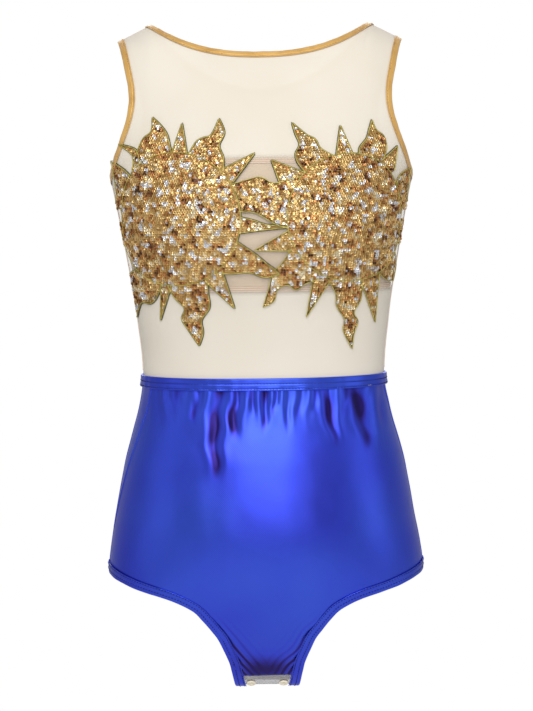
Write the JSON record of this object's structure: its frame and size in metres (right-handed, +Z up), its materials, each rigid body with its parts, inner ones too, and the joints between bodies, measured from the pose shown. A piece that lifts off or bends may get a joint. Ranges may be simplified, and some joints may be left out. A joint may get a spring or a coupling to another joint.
{
  "type": "gymnastics leotard",
  "caption": "Sleeveless stretch leotard with a sheer top, lined bust band, sunburst sequin appliques, high foil brief and a crotch that opens on press studs.",
  "frame": {"origin": "middle of the wearer's waist, half way up the waistband, on the garment's plane of symmetry", "axes": "+X to the wearer's left, +Y to the wearer's back, +Z up; the front faces -Y"},
  "size_m": [0.3282, 0.2411, 0.6919],
  "materials": {
    "sheer_mesh": "fine nude stretch mesh, slightly sheer, matte",
    "band_lining": "nude power mesh lining, matte",
    "elastic": "ribbed flat elastic, matte",
    "gold_satin": "mustard-gold satin bias binding, soft sheen, stitched",
    "sequins": "gold, brown and silver sequins, metallic, with a corded edge",
    "blue_foil": "royal-blue foil-coated stretch fabric, metallic sheen",
    "cotton": "off-white cotton jersey, matte",
    "snap_tape": "translucent grey-white nylon tape",
    "snap_resin": "cream moulded resin, satin gloss"
  },
  "bodies": {
    "leotard": {"front_mesh_panel": "sheer_mesh", "back_mesh_panel": "sheer_mesh", "bust_band_front": "band_lining", "bust_band_back": "band_lining", "bust_band_top_elastic": "elastic", "bust_band_bottom_elastic": "elastic", "waist_elastic": "elastic", "leg_elastic_left": "elastic", "leg_elastic_right": "elastic", "neck_binding": "gold_satin", "armhole_binding_left": "gold_satin", "armhole_binding_right": "gold_satin", "applique_left": "sequins", "applique_right": "sequins", "gusset_lining_front": "cotton", "gusset_lining_back": "cotton", "waistband": "blue_foil", "brief_front_panel": "blue_foil", "brief_back_panel": "blue_foil", "leg_hem_left": "blue_foil", "leg_hem_right": "blue_foil"},
    "front_flap": {"front_tab": "blue_foil", "front_tab_hem_left": "blue_foil", "front_tab_hem_right": "blue_foil", "front_snap_tape": "snap_tape", "front_snap_cap_left": "snap_resin", "front_snap_cap_right": "snap_resin", "front_snap_socket_left": "snap_resin", "front_snap_socket_right": "snap_resin"},
    "back_flap": {"back_tab": "blue_foil", "back_snap_tape": "snap_tape", "back_snap_stud_left": "snap_resin", "back_snap_stud_right": "snap_resin", "back_snap_cap_left": "snap_resin", "back_snap_cap_right": "snap_resin"}
  },
  "joints": [
    {"name": "front_flap_hinge", "type": "hinge", "parent": "leotard", "child": "front_flap", "pos_m": [0, -0.04298, -0.28106], "axis": [-1, 0, 0], "range_deg": [0, 110]},
    {"name": "back_flap_hinge", "type": "hinge", "parent": "leotard", "child": "back_flap", "pos_m": [0, 0.0283, -0.31399], "axis": [1, 0, 0], "range_deg": [0, 55]}
  ],
  "couplings": [
    {"joint": "back_flap_hinge", "follows": "front_flap_hinge", "ratio": 0.5}
  ]
}
